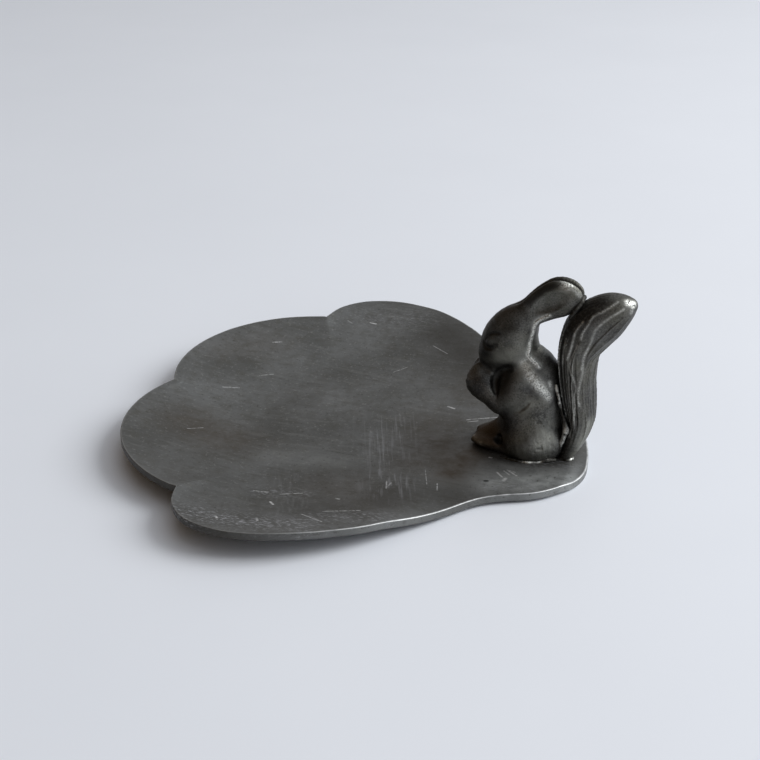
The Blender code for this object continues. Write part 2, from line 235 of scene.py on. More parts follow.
class Clay:
    """A block of grid points to model in; field holds the distance to the surface in millimetres."""

    def __init__(self, low, high, step):
        self.low = np.array(low, float)
        self.step = step
        counts = np.ceil((np.array(high, float) - self.low) / step).astype(int) + 1
        self.axes = [self.low[i] + step * np.arange(counts[i]) for i in range(3)]
        self.field = np.full(counts, FAR, np.float32)

    def window(self, low, high):
        """Slices of the grid between two corners, and the coordinates there."""
        cuts = []
        places = []
        for i in range(3):
            first = np.searchsorted(self.axes[i], low[i])
            last = np.searchsorted(self.axes[i], high[i])
            cuts.append(slice(first, last))
            shape = [1, 1, 1]
            shape[i] = -1
            places.append(self.axes[i][first:last].astype(np.float32).reshape(shape))
        return tuple(cuts), places

    def read(self, points):
        """Distance at any points, between grid points too."""
        grid = (points - self.low) / self.step
        cell = np.clip(np.floor(grid).astype(int), 0, np.array(self.field.shape) - 2)
        return between_corners(grid - cell, lambda corner: self.field[tuple((cell + corner).T)])

    def outward(self, points):
        """Unit direction out of the surface at points."""
        slope = np.empty((len(points), 3))
        for i in range(3):
            ahead = np.zeros(3)
            ahead[i] = self.step
            slope[:, i] = self.read(points + ahead) - self.read(points - ahead)
        return slope / np.maximum(np.linalg.norm(slope, axis=1), TINY)[:, None]

    def limb(self, stations, level=ACROSS, side=1, steps=STROKE_STEPS):
        """Field of a rounded limb through stations, its first half width along level.

        Also returns the distance along the limb and the angle round it, for patterns on its surface."""
        path = through_points(stations, steps)
        centres = path[:, :3] * (1, side, 1)
        run_length = np.concatenate(([0.0], np.cumsum(np.linalg.norm(np.diff(centres, axis=0), axis=1))))
        shape = np.full(self.field.shape, FAR, np.float32)
        along = np.zeros(self.field.shape, np.float32)
        angle = np.zeros(self.field.shape, np.float32)
        for k in range(len(path) - 1):
            start, end = centres[k], centres[k + 1]
            length = np.linalg.norm(end - start)
            run = (end - start) / length
            first = unit(level - run * (level @ run))
            second = np.cross(run, first)
            reach = max(path[k, 3:].max(), path[k + 1, 3:].max()) + LIMB_MARGIN
            cut, (x, y, z) = self.window(np.minimum(start, end) - reach, np.maximum(start, end) + reach)
            if min(x.size, y.size, z.size) == 0:
                continue
            dx, dy, dz = x - start[0], y - start[1], z - start[2]
            ahead, u, v = (dx * axis[0] + dy * axis[1] + dz * axis[2] for axis in (run, first, second))
            t = np.clip(ahead / length, 0.0, 1.0)
            over = ahead - t * length
            wide = path[k, 3] + (path[k + 1, 3] - path[k, 3]) * t
            deep = path[k, 4] + (path[k + 1, 4] - path[k, 4]) * t
            distance = ellipsoid_field((u, v, over), (wide, deep, np.minimum(wide, deep)))
            closer = distance < shape[cut]
            shape[cut] = np.where(closer, distance, shape[cut])
            along[cut] = np.where(closer, run_length[k] + t * length, along[cut])
            angle[cut] = np.where(closer, np.arctan2(v / deep, u / wide), angle[cut])
        return shape, along, angle

    def groove(self, side_view, radius, depth):
        """Field of a thread on the left flank through (x, z) points, thin at its ends and sunk by depth."""
        path = self.flank_stroke(side_view)
        stations = []
        for i, place in enumerate(path):
            swell = radius * (0.25 + 0.75 * math.sin(math.pi * i / (len(path) - 1)))
            stations.append((place[0], place[1] + depth, place[2], swell, swell))
        return self.limb(stations, level=SKEW, steps=1)[0]

    def ellipsoid(self, centre, halves, tilt_deg):
        """Field of an ellipsoid turned in the XZ plane; halves lie along its length, Y and its depth."""
        x, y, z = (axis.astype(np.float32).reshape(shape) for axis, shape in
                   zip(self.axes, ((-1, 1, 1), (1, -1, 1), (1, 1, -1))))
        a = math.radians(tilt_deg)
        dx, dy, dz = x - centre[0], y - centre[1], z - centre[2]
        long = dx * math.cos(a) + dz * math.sin(a)
        short = dz * math.cos(a) - dx * math.sin(a)
        return ellipsoid_field((long, dy, short), halves)

    def stand(self, field, sink):
        """Keep a field, cut off level just inside the pad."""
        level = self.axes[2].astype(np.float32)[None, None, :]
        self.field = np.maximum(field, PAD_TOP - sink - level)

    def on_left(self, x, z):
        """The point of the left flank (lowest Y) at x and z."""
        ys = self.axes[1]
        samples = self.read(np.column_stack((np.full(len(ys), x), ys, np.full(len(ys), z))))
        inside = np.flatnonzero(samples < 0)
        return np.array((x, ys[inside[0]] if len(inside) else 0.0, z))

    def on_back(self, y, z):
        """The point of the back (highest X) at y and z."""
        xs = self.axes[0]
        samples = self.read(np.column_stack((xs, np.full(len(xs), y), np.full(len(xs), z))))
        inside = np.flatnonzero(samples < 0)
        return np.array((xs[inside[-1]], y, z))

    def flank_stroke(self, side_view):
        """A curve on the left flank through points given as (x, z)."""
        return [self.on_left(x, z) for x, z in through_points(side_view, STROKE_STEPS)]

    def skin(self):
        """The field's zero surface as points and four-sided faces that look outward (surface nets)."""
        inside = self.field < 0
        size = np.array(inside.shape) - 1
        mixed = np.zeros(size, bool)
        first = inside[:-1, :-1, :-1]
        for i, j, k in CORNERS:
            mixed |= inside[i:i + size[0], j:j + size[1], k:k + size[2]] != first
        cells = np.argwhere(mixed)
        number = np.full(size, -1)
        number[mixed] = np.arange(len(cells))
        values = np.stack([self.field[tuple((cells + c).T)] for c in CORNERS], axis=1)
        total = np.zeros((len(cells), 3))
        count = np.zeros(len(cells))
        for a, b in CELL_EDGES:
            crossed = (values[:, a] < 0) != (values[:, b] < 0)
            t = values[crossed, a] / (values[crossed, a] - values[crossed, b])
            total[crossed] += CORNERS[a] + t[:, None] * (CORNERS[b] - CORNERS[a])
            count += crossed
        points = (cells + total / count[:, None]) * self.step + self.low
        quads = []
        for axis in range(3):
            back = np.take(inside, range(inside.shape[axis] - 1), axis)
            front = np.take(inside, range(1, inside.shape[axis]), axis)
            edges = np.argwhere(back != front)
            others = [(axis + 1) % 3, (axis + 2) % 3]
            limits = np.array(inside.shape)[others] - 1
            edges = edges[((edges[:, others] > 0) & (edges[:, others] < limits)).all(axis=1)]
            left = np.eye(3, dtype=int)[others[0]]
            down = np.eye(3, dtype=int)[others[1]]
            ring = [number[tuple((edges - shift).T)] for shift in (left + down, down, 0 * down, left)]
            quad = np.stack(ring, axis=1)
            leaving = back[tuple(edges.T)]
            quad[~leaving] = quad[~leaving][:, ::-1]
            quads.append(quad)
        return points, np.concatenate(quads).tolist()


def surface_of(clay, hollow_reach, crest_reach):
    """The skin's points and faces, the way out, and how enclosed and exposed each point is (0 to 1)."""
    points, quads = clay.skin()
    out = clay.outward(points)
    # How enclosed each point is; the castings paint it in as shade in creases and recesses (ambient
    # occlusion)
    shade_and_grime = np.clip(1.0 - clay.read(points + out * hollow_reach) / hollow_reach, 0.0, 1.0)
    crest = np.clip(1.0 + clay.read(points - out * crest_reach) / crest_reach, 0.0, 1.0)
    return points, quads, out, shade_and_grime, crest


def mirrored(clay):
    """A block that covers Y from low to -low, made from one that ends at Y = 0."""
    whole = Clay(clay.low, clay.low, clay.step)
    whole.field = np.concatenate((clay.field, clay.field[:, -2::-1, :]), axis=1)
    whole.axes = list(clay.axes)
    whole.axes[1] = clay.low[1] + clay.step * np.arange(whole.field.shape[1])
    return whole


# ---- meshes

def put_in_scene(name, data):
    """A new object that shows the data."""
    thing = bpy.data.objects.new(name, data)
    bpy.context.scene.collection.objects.link(thing)
    return thing


def make_piece(name, points, faces, material, stands_for, marks):
    """A smooth piece from points in the leaf frame; marks are numbers per point that the material reads."""
    data = bpy.data.meshes.new(name)
    data.from_pydata(((points + LEAF_ORIGIN) * MM).tolist(), [], faces)
    data.validate()
    data.shade_smooth()
    for mark, values in marks.items():
        layer = data.attributes.new(mark, "FLOAT", "POINT")
        layer.data.foreach_set("value", np.asarray(values, np.float32))
    data.materials.append(material)
    piece = put_in_scene(name, data)
    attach(piece, "root")
    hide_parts(*stands_for)
    return piece


# ---- tray

def arc(centre_x, centre_y, radius, start, end, count):
    """Points on an arc given in radians, both ends included."""
    a = np.linspace(start, end, count)
    return np.column_stack((centre_x + radius * np.cos(a), centre_y + radius * np.sin(a)))


def leaf_outline():
    """Closed outline of the tray, anticlockwise, starting in the middle of the pad's end."""
    lobe_x, lobe_y, radius = LOBE
    side = through_points(PAD_END + NECK + SIDE_LOBE + (SIDE_NOTCH,), 10)
    start = math.atan2(SIDE_NOTCH[1] - lobe_y, SIDE_NOTCH[0] - lobe_x)
    end = math.atan2(END_NOTCH[1] - lobe_y, END_NOTCH[0] - lobe_x) + math.tau
    half = np.vstack((side, arc(lobe_x, lobe_y, radius, start, end, 90)[1:]))
    outline = np.vstack((half, (half * (1, -1))[-2:0:-1]))
    outline[:, 0] -= PAD_SKEW * outline[:, 1] * smooth_step(*PAD_SKEW_SPAN, outline[:, 0])
    return outline


CREASE_HEIGHT = 0.06
CREASE_WIDTH = 1.2
CREASE_FULL = 0.8
# Stretch of X over which the hammer's marks fade out towards the pad's end
HAMMER_SPAN = (37.0, 30.0)
# Small dents in the tray: (x, y, radius, depth)
DENTS = ((-6.0, 12.0, 1.2, 0.05), (3.0, -9.0, 2.2, 0.04), (12.0, 14.0, 1.6, 0.05), (-15.0, -8.0, 2.6, 0.05),
         (16.0, -22.0, 1.5, 0.05), (-4.0, -27.0, 2.4, 0.05), (-17.0, 15.0, 1.8, 0.05))


def crease_height(points, t):
    """Soft ridge that runs inward from each notch, between two cupped lobes."""
    height = np.zeros(len(points))
    for notch in (END_NOTCH, SIDE_NOTCH, (SIDE_NOTCH[0], -SIDE_NOTCH[1])):
        along = unit(np.array(notch))
        across = np.abs(along[0] * points[:, 1] - along[1] * points[:, 0])
        height += np.exp(-(across / CREASE_WIDTH) ** 2) * (points @ along > 0)
    return CREASE_HEIGHT * height * smooth_step(FLOOR_EDGE, CREASE_FULL, t)


def tray_top(points, t):
    """Height of the tray's upper face: flat floor, cupped lobes and a level pad."""
    x = points[:, 0]
    rim = RIM_TOP + (PAD_TOP - RIM_TOP) * smooth_step(*NECK_SPAN, x)
    cup = np.maximum(0.0, (t - FLOOR_EDGE) / (1.0 - FLOOR_EDGE)) ** CUP_POWER
    bowl = TRAY_THICKNESS + (rim - TRAY_THICKNESS) * cup + crease_height(points, t)
    return bowl + (PAD_TOP - bowl) * smooth_step(*PAD_SPAN, x)


def hand_work(points):
    """Unevenness that the maker's hammer and years of use left on the tray."""
    flat = np.column_stack((points, np.zeros(len(points))))
    height = 0.06 * noise(flat, 9.0, 3) + 0.025 * noise(flat, 3.5, 4)
    for x, y, radius, depth in DENTS:
        height -= depth * np.exp(-((points[:, 0] - x) ** 2 + (points[:, 1] - y) ** 2) / radius ** 2)
    height *= smooth_step(*HAMMER_SPAN, points[:, 0])
    return height - PAD_DROOP * smooth_step(*DROOP_SPAN, points[:, 0])


def rounded_reach(outline):
    """How far each outline point reaches compared with the outline's local mean reach."""
    reach = np.linalg.norm(outline, axis=1)
    angle = np.arctan2(outline[:, 1], outline[:, 0])
    apart = np.angle(np.exp(1j * (angle[:, None] - angle[None, :])))
    share = np.exp(-(apart / NOTCH_SOFTENING) ** 2)
    return reach * share.sum(axis=1) / (share @ reach)


def tray_rings():
    """Rings from the middle over the edge to the underside: share of the way out, inset, drop and wear."""
    spread = np.linspace(*FACE_RINGS)
    rings = [(t, 0.0, 0.0, 0.0) for t in spread]
    rings += [(1.0, inset, 0.0, 0.0) for inset in RIM_INSETS]
    quarter = np.linspace(0.0, math.pi / 2, EDGE_STEPS)
    corner = [(EDGE_RADIUS * (1 - math.sin(a)), EDGE_RADIUS * (1 - math.cos(a)), math.cos(a))
              for a in quarter]
    rings += [(1.0, inset, drop, worn) for inset, drop, worn in corner]
    rings += [(1.0, inset, TRAY_THICKNESS - drop, 0.0) for drop, inset, _ in corner]
    rings += [(1.0, inset, TRAY_THICKNESS, 0.0) for inset in UNDER_INSETS]
    rings += [(t, 0.0, TRAY_THICKNESS, 0.0) for t in spread[::-2]]
    return rings


def tray_marks(points, edge, sunk):
    """Where the tray is worn, stained, dull, pale, scuffed and brushed, and where it gets painted shade,
    painted light, a painted highlight and a painted reflection.
    """
    x, plan = points[:, 0], points[:, :2]
    wall = smooth_step(0.0, EDGE_RADIUS, sunk)
    wall_shade = wall * smooth_step(*SHADED_WALL_SPAN, x)
    wall_light = 0.4 * wall * smooth_step(*LIT_WALL_SPAN, x)
    darkening = np.maximum(seat_darkening(points), strongest(plan, DULL))
    # The side wall takes painted shade towards the left and painted light towards the right; the rubbed top
    # edge is made brighter towards the lit right as a painted highlight
    return {
        "wear": edge * (0.2 + 0.8 * smooth_step(*WORN_AND_LIT_EDGE_SPAN, x)),
        "brown": strongest(plan, BROWN_PATCHES_AND_REFLECTION),
        "shade_and_grime": np.maximum(darkening, wall_shade),
        "pale": np.maximum(wall_light, strongest(plan, PAD_RUB)),
        "scuffed": strongest(plan, SCUFFED) * (points[:, 2] > SCUFF_FLOOR),
        "brushed": strongest(plan, BRUSHED),
    }


def build_tray(material):
    """Thin tray: an upper face, a rounded and worn edge, and a parallel underside."""
    outline = leaf_outline()
    reach = np.linalg.norm(outline, axis=1)
    soft = rounded_reach(outline)
    inward = -outline / reach[:, None]
    rings = tray_rings()
    points = []
    for t, inset, drop, _ in rings:
        flat = outline * t + inward * inset
        level = soft + (1.0 - soft) * RIM_LEVELLING * smooth_step(LEVEL_START, 1.0, t)
        share = t * level - inset / reach
        z = tray_top(flat, share) + hand_work(flat) - drop
        points.append(np.column_stack((flat, np.maximum(z, 0.0))))
    count = len(outline)
    faces = []
    for ring in range(len(rings) - 1):
        for i in range(count):
            j = (i + 1) % count
            a = ring * count
            faces.append((a + i, a + count + i, a + count + j, a + j))
    faces.append(tuple(range(count)))
    faces.append(tuple(range(len(rings) * count - 1, (len(rings) - 1) * count - 1, -1)))
    points = np.vstack(points)
    sunk, edge = (np.repeat([ring[k] for ring in rings], count) for k in (2, 3))
    marks = tray_marks(points, edge, sunk)
    return make_piece("tray_leaf", points, faces, material, ["tray"], marks)


# Stretches of X over which the tray's edge turns worn and brighter as a painted highlight towards the lit
# right, and its side wall takes painted shade towards the left and painted light towards the right
WORN_AND_LIT_EDGE_SPAN = (2.0, 19.0)
SHADED_WALL_SPAN = (12.0, -6.0)
LIT_WALL_SPAN = (6.0, 18.0)
# Scuffs stay on the upper face, above this height
SCUFF_FLOOR = 1.0
# Darker pad round the castings: an oval on the mirror line
SEAT_X = 29.0
SEAT_HALVES = (8.8, 6.4)
# Places on the tray seen from above: (stroke, width, strength)
# The brown patch on the near left lobe, from (-22, -10) to (-14, -12), is a painted reflection of a gold
# chain lying beside the dish; the first three darken the sheet brown just left of the squirrel
BROWN_PATCHES_AND_REFLECTION = (
    (((21.5, -4.5), (20.3, -8.5), (20.0, -12.0)), 2.8, 1.0),
    (((16.0, -2.5), (18.5, -9.0)), 3.6, 0.7), (((13.5, 2.0), (14.5, -9.0)), 5.0, 0.45),
    (((18.5, 16.0), (24.0, 17.5)), 5.0, 0.6), (((5.0, -20.0), (12.0, -24.0)), 5.0, 0.3),
    (((-22.0, -10.0), (-14.0, -12.0)), 5.0, 0.55), (((-26.0, 14.0), (-20.0, 20.0)), 4.0, 0.25))
DULL = ((((14.0, -23.0), (21.0, -17.5)), 4.8, 0.8), (((7.5, 32.0), (15.0, 24.0)), 5.5, 0.95),
        (((5.0, -29.0), (11.0, -27.0)), 4.0, 0.5), (((22.0, -12.0), (26.0, -11.0)), 2.0, 0.2))
PAD_RUB = ((((26.0, -12.5), (33.0, -10.5)), 3.4, 1.0), (((33.0, -10.8), (35.6, -8.8)), 2.8, 1.0),
           (((20.0, -14.0), (27.0, -12.5)), 2.4, 0.4), (((27.0, -8.0), (34.0, -7.0)), 1.6, 0.4),
           (((-6.0, -14.0), (3.0, -13.0)), 2.6, 0.3), (((27.4, -9.9), (29.0, -9.0)), 0.7, 0.9))
SCUFFED = (
    (((-9.5, -37.0), (-2.0, -36.4), (6.0, -35.0)), 2.4, 1.0),
    (((-4.0, -26.0), (2.0, -24.4)), 1.4, 0.6), (((6.0, -32.0), (15.0, -28.6)), 1.8, 0.6),
    (((26.0, -14.0), (32.0, -12.0)), 1.2, 0.6), (((30.0, -4.5), (35.0, -4.5)), 1.5, 0.5),
    (((-8.0, 34.0), (2.0, 36.0)), 3.0, 0.35))
BRUSHED = ((((7.0, 0.0), (13.0, -19.0)), 3.4, 1.0), (((-2.0, -20.0), (4.0, -34.0)), 3.0, 0.3))


def seat_darkening(points):
    """The pad made darker close round the castings."""
    reach = np.hypot((points[:, 0] - SEAT_X) / SEAT_HALVES[0], points[:, 1] / SEAT_HALVES[1])
    return 0.6 * smooth_step(1.12, 0.9, reach)


# ---- squirrel

# Details on the squirrel's left flank, as (x, z) seen from the side; its mirror gives them to both flanks
UPPER_LID = ((22.3, 18.9), (22.7, 19.6), (23.4, 20.1), (24.4, 20.3))
LOWER_LID = ((21.9, 18.3), (22.3, 17.8), (22.9, 17.7), (23.5, 18.0), (24.1, 18.5))
EYEBALL = (23.35, 19.0)
EYEBALL_DEPTH = 0.28
EYEBALL_HALVES = (1.05, 0.44, 0.48)
EYE_TILT = 42.0
ARMPIT = ((26.1, 15.0), (25.3, 14.6), (24.5, 13.9), (24.1, 13.0), (24.0, 12.0), (24.3, 11.2))
THIGH_CREASE = ((28.0, 9.1), (28.7, 9.8), (29.6, 10.8))
# Grooves: (line, radius, how deep it is sunk, softness of its edge)
GROOVES = ((UPPER_LID, 0.2, -0.05, 0.25), (LOWER_LID, 0.3, 0.0, 0.4), (ARMPIT, 0.45, 0.05, 0.7),
           (THIGH_CREASE, 0.3, -0.2, 0.3))
# Ellipsoids carved away: (centre, halves, tilt in degrees)
EAR_DISH = ((31.3, -2.25, 25.3), (3.5, 1.0, 1.8), 33.0)
FOOT_HOLLOW = ((25.1, -3.7, 3.65), (0.65, 1.0, 0.55), -20.0)
# Parting ridge down the back of the neck, as (y, z)
SEAM_RADIUS = 0.22
NECK_SEAM = ((-1.5, 23.2), (-1.55, 21.9), (-1.6, 20.9), (-1.85, 19.6), (-2.1, 18.3), (-2.35, 17.4),
             (-2.5, 16.6), (-2.6, 15.8))


def squirrel_clay():
    """The squirrel, melted together from its limbs, and the line of its neck seam."""
    clay = Clay(*SQUIRREL_BLOCK, STEP)
    body = clay.limb(TRUNK)[0]
    for limb, fillet in LIMBS:
        body = melt(body, clay.limb(limb, side=-1)[0], fillet)
    clay.field = carve(body.astype(np.float32), clay.ellipsoid(*EAR_DISH), 0.15)
    eye_place = clay.on_left(*EYEBALL)
    ball = clay.ellipsoid(eye_place + (0.0, EYEBALL_DEPTH, 0.0), EYEBALL_HALVES, EYE_TILT)
    for line, radius, depth, softness in GROOVES:
        clay.field = carve(clay.field, clay.groove(line, radius, depth), softness)
    clay.field = melt(clay.field, ball, 0.3)
    clay.stand(carve(clay.field, clay.ellipsoid(*FOOT_HOLLOW), 0.4), CASTING_SINK)
    whole = mirrored(clay)
    seam = [whole.on_back(y, z) for y, z in through_points(NECK_SEAM, STROKE_STEPS)]
    ridge = [(*place, SEAM_RADIUS, SEAM_RADIUS) for place in seam]
    whole.field = melt(whole.field, whole.limb(ridge, level=SKEW, steps=1)[0], 0.15)
    return whole, seam


# Worn, stained, shaded, pale and pitted places on the squirrel: (stroke, width, strength)
BURNISHED = (
    (((28.1, -2.6, 16.0), (29.4, -3.1, 14.3), (30.7, -3.3, 13.0), (32.2, -3.3, 11.4)), 0.65, 0.85),
    (((29.0, -3.0, 14.5), (30.7, -3.3, 12.8)), 0.65, 1.0),
    (((28.0, -2.6, 16.2), (28.5, -2.9, 15.3)), 0.45, 1.0),
    (((33.0, -1.2, 28.3), (33.6, -1.2, 28.1)), 0.7, 1.0),
    (((33.6, -1.2, 28.1), (35.3, -1.1, 26.6)), 0.3, 0.5),
    (((32.0, -2.6, 13.4), (32.8, -3.0, 11.2), (33.5, -3.2, 8.6)), 0.3, 0.8),
    (((29.6, -5.6, 3.4), (31.4, -5.0, 4.6)), 1.5, 0.12),
    (((20.5, -1.0, 2.5), (21.2, -2.2, 2.4), (22.4, -3.4, 2.5)), 0.3, 0.5))
BROWNED = (
    (((21.5, 0.0, 2.5), (24.5, -1.0, 3.6)), 1.9, 1.0),
    (((21.5, -2.0, 2.5), (24.8, -3.6, 3.2)), 1.2, 0.8),
    (((24.6, -3.2, 11.6), (25.4, -3.0, 10.0)), 0.7, 0.5),
    (((25.0, -1.2, 23.0), (26.0, -1.2, 23.2)), 0.7, 0.35),
    (((20.0, -1.6, 11.5), (20.6, -2.0, 12.8)), 0.9, 0.3),
    (((30.2, 0.0, 14.8), (32.2, 0.3, 13.2)), 1.3, 0.8),
    (((25.6, -3.2, 13.4), (26.6, -3.8, 11.0)), 1.2, 0.35))
# Painted shade with some dark patina: in the armpit and chest, on the head's top and front, under the jaw,
# in the foot's hollow, between leg and haunch, along the base on the pad, under the ear's rim and on the
# front of the paws
SHADE_AND_PATINA_STROKES = (
    (((25.6, -3.2, 13.6), (26.0, -3.6, 12.0), (26.4, -4.0, 9.0)), 1.7, 0.55),
    (((22.4, -1.5, 19.6), (23.6, -2.0, 21.4), (26.5, -1.6, 22.6)), 1.5, 0.35),
    (((22.2, -2.6, 20.0), (22.0, -2.6, 17.0)), 1.2, 0.6),
    (((24.4, -3.0, 20.4), (26.4, -2.8, 21.4)), 1.0, 0.5),
    (((26.2, -3.0, 15.0), (24.9, -3.0, 14.0), (24.2, -3.0, 12.4)), 0.7, 0.9),
    (((22.0, -1.6, 15.2), (24.4, -2.6, 15.2), (26.8, -2.8, 15.6)), 0.7, 0.75),
    (((24.8, -3.5, 3.6), (25.5, -3.8, 3.5)), 0.6, 1.0),
    (((26.8, -4.2, 7.6), (26.0, -4.4, 5.2)), 0.7, 0.25),
    (((20.6, -2.0, 1.6), (25.0, -4.4, 1.6), (28.5, -5.6, 1.6), (33.0, -4.4, 1.6)), 0.4, 0.9),
    (((28.2, -1.2, 24.8), (30.4, -1.4, 27.2), (32.6, -1.4, 28.3)), 0.55, 0.7),
    (((20.2, -1.0, 13.6), (20.0, -1.4, 11.4), (22.0, -2.4, 9.2)), 0.9, 0.35))
# Pale patina, and painted light: the patch on the cheek and the one on the haunch's right side make those
# lit places brighter
PALE_AND_LIT_PLACES = (
    (((27.3, -4.4, 9.8), (28.6, -4.6, 9.4), (29.6, -4.4, 10.6)), 0.9, 0.8),
    (((24.8, -2.8, 16.6), (27.6, -2.0, 17.8)), 1.5, 0.75),
    (((31.6, -4.8, 4.0), (32.6, -4.4, 7.0)), 1.4, 1.0),
    (((27.6, -3.0, 16.4), (29.4, -3.2, 14.0)), 1.2, 0.6),
    (((29.6, -1.6, 24.4), (32.4, -1.6, 26.0)), 1.0, 0.1))
PITTED = ((((31.2, -4.6, 9.0), (32.2, -4.8, 6.0), (31.6, -5.0, 3.6)), 1.6, 1.0),
          (((29.2, -3.2, 14.3), (31.6, -3.3, 11.6)), 1.2, 0.5))


def build_squirrel(material):
    """The squirrel casting, with its casting grain, its worn and dirty places, and painted shade and light.
    """
    clay, seam = squirrel_clay()
    points, quads, out, shade_and_grime, crest = surface_of(clay, 0.8, 0.35)
    pitted = strongest(points, PITTED)
    uneven = 0.05 * noise(points, 2.6, 11) + 0.018 * noise(points, 1.0, 12)
    pits = smooth_step(0.2, 0.7, noise(points, 0.48, 13)) * 0.13 * pitted
    points = points + out * (uneven - pits)[:, None]
    rubbed = np.maximum(strongest(points, BURNISHED), near_stroke(points, seam, 0.36))
    shade_and_patina = strongest(points, SHADE_AND_PATINA_STROKES)
    wear = np.clip(rubbed + 0.5 * smooth_step(0.35, 0.9, crest), 0.0, 1.0) * (1.0 - 0.8 * shade_and_patina)
    # Painted shade in creases, under the shade strokes and on the side that faces away from the window
    # (-X), with dark patina and the casting's pits
    darkening = shade_and_grime + shade_and_patina + 0.25 * smooth_step(0.2, -0.8, out[:, 0]) + 4.0 * pits
    marks = {
        "wear": wear,
        "shade_and_grime": np.clip(darkening, 0.0, 1.0),
        "brown": strongest(points, BROWNED),
        "pale": strongest(points, PALE_AND_LIT_PLACES),
        "pitted": pitted,
    }
    return make_piece("squirrel_cast", points, quads, material, ["squirrel"], marks)


# ---- tail

STRAND_DEPTH = 0.4
STRAND_RUN = 12.0
STRAND_GAP = 0.95
STRAND_GIRTH = 3.1
CREST_RADIUS = 0.24
CREST_SUNK = 0.13
CREST_RUB = 0.16
# Distance from the tail's plain surface within which fur is carved
CARVED_BAND = 1.2
# Shares of the tail's length where the fur sets in, runs out, and leaves the crown bare
FUR_START = (0.06, 0.26)
FUR_END = (0.84, 0.98)
BARE_CROWN = (0.62, 0.8)
# The longest ridges of fur, as (x, z) seen from the left side
CRESTS = (
    ((40.7, 26.6), (39.2, 25.6), (37.7, 24.7), (37.1, 23.6), (36.5, 22.4), (36.2, 21.2)),
    ((41.6, 25.8), (39.8, 24.6), (38.7, 23.6), (38.0, 22.6), (37.7, 21.3), (37.3, 20.0), (36.7, 18.3),
     (36.5, 16.5)),
    ((35.8, 20.2), (35.1, 18.1), (34.9, 16.5), (35.4, 15.0), (35.9, 13.4), (35.7, 11.8), (36.0, 10.3)),
    ((37.3, 20.1), (36.7, 17.9), (36.6, 15.9), (36.3, 13.8), (36.2, 12.0), (36.5, 10.7)),
    ((36.3, 23.7), (35.4, 22.3), (35.1, 21.0), (34.9, 19.7), (34.4, 17.8)),
    ((35.8, 10.2), (35.8, 7.7), (35.4, 5.4)),
    ((34.0, 20.7), (33.8, 18.6), (33.7, 16.8)))
# Worn, pale and shaded places on the tail: (stroke, width, strength)
TAIL_TIP_RUB = ((((42.1, -1.1, 26.6), (42.7, -0.8, 26.2)), 0.45, 1.0),
                (((42.6, -1.0, 26.0), (42.5, -1.2, 25.2)), 0.25, 0.7))
# A casting nub on top: (centre, halves, tilt in degrees)
TAIL_NUB = ((40.4, 0.3, 27.0), (0.2, 0.2, 0.25), 0.0)
TAIL_PALE = ((((36.4, -2.4, 2.0), (37.2, -2.6, 5.0), (37.6, -2.4, 7.4)), 1.2, 0.8),)
# Painted shade with some dirt: on the tail's upper-left, low at its foot, and on its front edge in the gap
# to the squirrel's back
TAIL_SHADE_AND_DIRT = ((((34.6, -2.6, 22.0), (36.0, -2.6, 25.2), (38.4, -2.0, 26.4)), 1.5, 0.6),
             (((34.8, -3.0, 2.0), (34.8, -2.0, 6.0)), 1.0, 0.5),
             (((33.4, -2.0, 20.0), (33.4, -2.0, 9.0)), 0.9, 0.5))


def strand_relief(along, angle):
    """Height of the carved fur on the tail: long ridges that wander, fork and run out, from 0 to 1."""
    sway = angle + 0.13 * np.sin(along / 3.4 + 1.7 * np.sin(angle))
    sway += 0.10 * np.sin(along / 5.1 + 2.3 * np.cos(angle))
    round_tail = STRAND_GIRTH * np.column_stack((np.cos(sway), np.sin(sway)))
    total = np.zeros(len(along))
    for gap, share, seed in ((STRAND_GAP, 0.55, 21), (STRAND_GAP * 0.55, 0.45, 22)):
        places = np.column_stack((round_tail, along * gap / STRAND_RUN))
        total += share * (1.0 - np.minimum(1.0, 3.2 * np.abs(noise(places, gap, seed)))) ** 1.2
    return total


